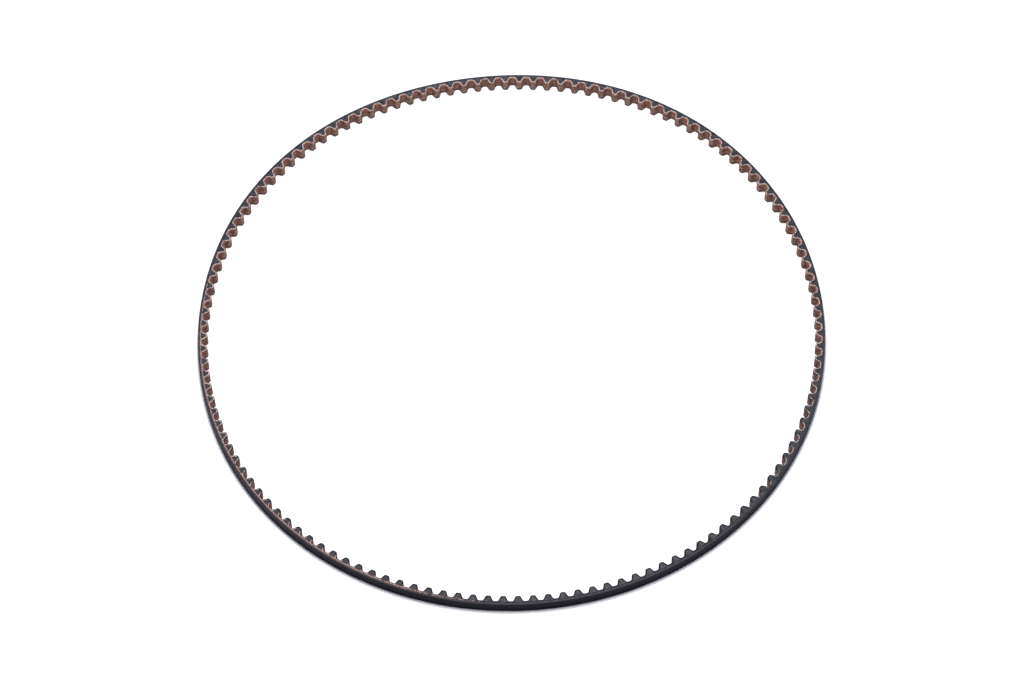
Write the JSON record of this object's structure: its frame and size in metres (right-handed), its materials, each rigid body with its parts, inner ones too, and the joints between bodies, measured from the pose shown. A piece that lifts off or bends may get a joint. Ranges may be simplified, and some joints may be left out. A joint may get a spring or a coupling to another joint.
{
  "type": "timing belt",
  "caption": "Endless toothed drive belt: a nearly round loop of rubber on a wound fibre cord, with woven-faced teeth inside and a plain back.",
  "frame": {"origin": "middle of the loop, on the surface that the lower cut edge lies on", "axes": "+Z along the belt's width, up from the surface; +X along the loop's longer axis at rest; teeth point towards the Z axis"},
  "size_m": [0.3432, 0.332, 0.0075],
  "materials": {
    "backing_rubber": "satin black",
    "tooth_rubber": "matte charcoal",
    "facing_weave": "matte copper-brown weave",
    "cord_fibre": "matte tan fibre"
  },
  "bodies": {
    "span_00": {"backing_00": "backing_rubber", "tooth_rubber_00": "tooth_rubber", "facing_00": "facing_weave", "tension_cord": "cord_fibre"},
    "span_01": {"backing_01": "backing_rubber", "tooth_rubber_01": "tooth_rubber", "facing_01": "facing_weave"},
    "span_02": {"backing_02": "backing_rubber", "tooth_rubber_02": "tooth_rubber", "facing_02": "facing_weave"},
    "span_03": {"backing_03": "backing_rubber", "tooth_rubber_03": "tooth_rubber", "facing_03": "facing_weave"},
    "span_04": {"backing_04": "backing_rubber", "tooth_rubber_04": "tooth_rubber", "facing_04": "facing_weave"},
    "span_05": {"backing_05": "backing_rubber", "tooth_rubber_05": "tooth_rubber", "facing_05": "facing_weave"},
    "span_06": {"backing_06": "backing_rubber", "tooth_rubber_06": "tooth_rubber", "facing_06": "facing_weave"},
    "span_07": {"backing_07": "backing_rubber", "tooth_rubber_07": "tooth_rubber", "facing_07": "facing_weave"},
    "span_08": {"backing_08": "backing_rubber", "tooth_rubber_08": "tooth_rubber", "facing_08": "facing_weave"},
    "span_09": {"backing_09": "backing_rubber", "tooth_rubber_09": "tooth_rubber", "facing_09": "facing_weave"},
    "span_10": {"backing_10": "backing_rubber", "tooth_rubber_10": "tooth_rubber", "facing_10": "facing_weave"},
    "span_11": {"backing_11": "backing_rubber", "tooth_rubber_11": "tooth_rubber", "facing_11": "facing_weave"},
    "span_12": {"backing_12": "backing_rubber", "tooth_rubber_12": "tooth_rubber", "facing_12": "facing_weave"},
    "span_13": {"backing_13": "backing_rubber", "tooth_rubber_13": "tooth_rubber", "facing_13": "facing_weave"},
    "span_14": {"backing_14": "backing_rubber", "tooth_rubber_14": "tooth_rubber", "facing_14": "facing_weave"},
    "span_15": {"backing_15": "backing_rubber", "tooth_rubber_15": "tooth_rubber", "facing_15": "facing_weave"},
    "span_16": {"backing_16": "backing_rubber", "tooth_rubber_16": "tooth_rubber", "facing_16": "facing_weave"},
    "span_17": {"backing_17": "backing_rubber", "tooth_rubber_17": "tooth_rubber", "facing_17": "facing_weave"},
    "span_18": {"backing_18": "backing_rubber", "tooth_rubber_18": "tooth_rubber", "facing_18": "facing_weave"}
  },
  "joints": [
    {"name": "bend_15", "type": "hinge", "parent": "span_00", "child": "span_01", "pos_m": [-0.06986, -0.14972, 0.00375], "axis": [0, 0, 1], "range_deg": [-6.4, 4.8], "stiffness_Nm_per_rad": 0.5, "deforming": ["tension_cord"]},
    {"name": "bend_16", "type": "hinge", "parent": "span_01", "child": "span_02", "pos_m": [-0.02388, -0.16242, 0.00375], "axis": [0, 0, 1], "range_deg": [-8.45, 6.35]},
    {"name": "bend_17", "type": "hinge", "parent": "span_02", "child": "span_03", "pos_m": [0.02383, -0.16257, 0.00375], "axis": [0, 0, 1], "range_deg": [-8.45, 6.35]},
    {"name": "bend_18", "type": "hinge", "parent": "span_03", "child": "span_04", "pos_m": [0.06983, -0.14999, 0.00375], "axis": [0, 0, 1], "range_deg": [-6.45, 4.85]},
    {"name": "bend_20", "type": "hinge", "parent": "span_04", "child": "span_05", "pos_m": [0.14254, -0.08988, 0.00375], "axis": [0, 0, 1], "range_deg": [-3.05, 4.05]},
    {"name": "bend_21", "type": "hinge", "parent": "span_05", "child": "span_06", "pos_m": [0.16279, -0.04674, 0.00375], "axis": [0, 0, 1], "range_deg": [-5.15, 6.85]},
    {"name": "bend_00", "type": "hinge", "parent": "span_06", "child": "span_07", "pos_m": [0.16967, 0.00043, 0.00375], "axis": [0, 0, 1], "range_deg": [-6.05, 8.05]},
    {"name": "bend_01", "type": "hinge", "parent": "span_07", "child": "span_08", "pos_m": [0.16288, 0.04761, 0.00375], "axis": [0, 0, 1], "range_deg": [-5.15, 6.85]},
    {"name": "bend_02", "type": "hinge", "parent": "span_08", "child": "span_09", "pos_m": [0.14294, 0.09091, 0.00375], "axis": [0, 0, 1], "range_deg": [-3.05, 4.05]},
    {"name": "bend_13", "type": "hinge", "parent": "span_00", "child": "span_10", "pos_m": [-0.1427, -0.08977, 0.00375], "axis": [0, 0, -1], "range_deg": [-3.05, 4.05]},
    {"name": "bend_12", "type": "hinge", "parent": "span_10", "child": "span_11", "pos_m": [-0.16289, -0.04661, 0.00375], "axis": [0, 0, -1], "range_deg": [-5.15, 6.85]},
    {"name": "bend_11", "type": "hinge", "parent": "span_11", "child": "span_12", "pos_m": [-0.16967, 0.00058, 0.00375], "axis": [0, 0, -1], "range_deg": [-6.05, 8.05]},
    {"name": "bend_10", "type": "hinge", "parent": "span_12", "child": "span_13", "pos_m": [-0.16289, 0.04777, 0.00375], "axis": [0, 0, -1], "range_deg": [-5.15, 6.85]},
    {"name": "bend_09", "type": "hinge", "parent": "span_13", "child": "span_14", "pos_m": [-0.14293, 0.09105, 0.00375], "axis": [0, 0, -1], "range_deg": [-3.05, 4.05]},
    {"name": "bend_07", "type": "hinge", "parent": "span_14", "child": "span_15", "pos_m": [-0.06993, 0.15058, 0.00375], "axis": [0, 0, -1], "range_deg": [-6.45, 4.85]},
    {"name": "bend_06", "type": "hinge", "parent": "span_15", "child": "span_16", "pos_m": [-0.02374, 0.16256, 0.00375], "axis": [0, 0, -1], "range_deg": [-8.45, 6.35]},
    {"name": "bend_05", "type": "hinge", "parent": "span_16", "child": "span_17", "pos_m": [0.024, 0.16267, 0.00375], "axis": [0, 0, -1], "range_deg": [-8.45, 6.35]},
    {"name": "bend_04", "type": "hinge", "parent": "span_17", "child": "span_18", "pos_m": [0.07018, 0.15074, 0.00375], "axis": [0, 0, -1], "range_deg": [-6.45, 4.85]}
  ],
  "couplings": [
    {"joint": "bend_16", "follows": "bend_15", "ratio": 1.3125},
    {"joint": "bend_17", "follows": "bend_15", "ratio": 1.3125},
    {"joint": "bend_18", "follows": "bend_15", "ratio": 1},
    {"joint": "bend_20", "follows": "bend_15", "ratio": -0.625},
    {"joint": "bend_21", "follows": "bend_15", "ratio": -1.0625},
    {"joint": "bend_00", "follows": "bend_15", "ratio": -1.25},
    {"joint": "bend_01", "follows": "bend_15", "ratio": -1.0625},
    {"joint": "bend_02", "follows": "bend_15", "ratio": -0.625},
    {"joint": "bend_13", "follows": "bend_15", "ratio": -0.625},
    {"joint": "bend_12", "follows": "bend_15", "ratio": -1.0625},
    {"joint": "bend_11", "follows": "bend_15", "ratio": -1.25},
    {"joint": "bend_10", "follows": "bend_15", "ratio": -1.0625},
    {"joint": "bend_09", "follows": "bend_15", "ratio": -0.625},
    {"joint": "bend_07", "follows": "bend_15", "ratio": 1},
    {"joint": "bend_06", "follows": "bend_15", "ratio": 1.3125},
    {"joint": "bend_05", "follows": "bend_15", "ratio": 1.3125},
    {"joint": "bend_04", "follows": "bend_15", "ratio": 1}
  ]
}
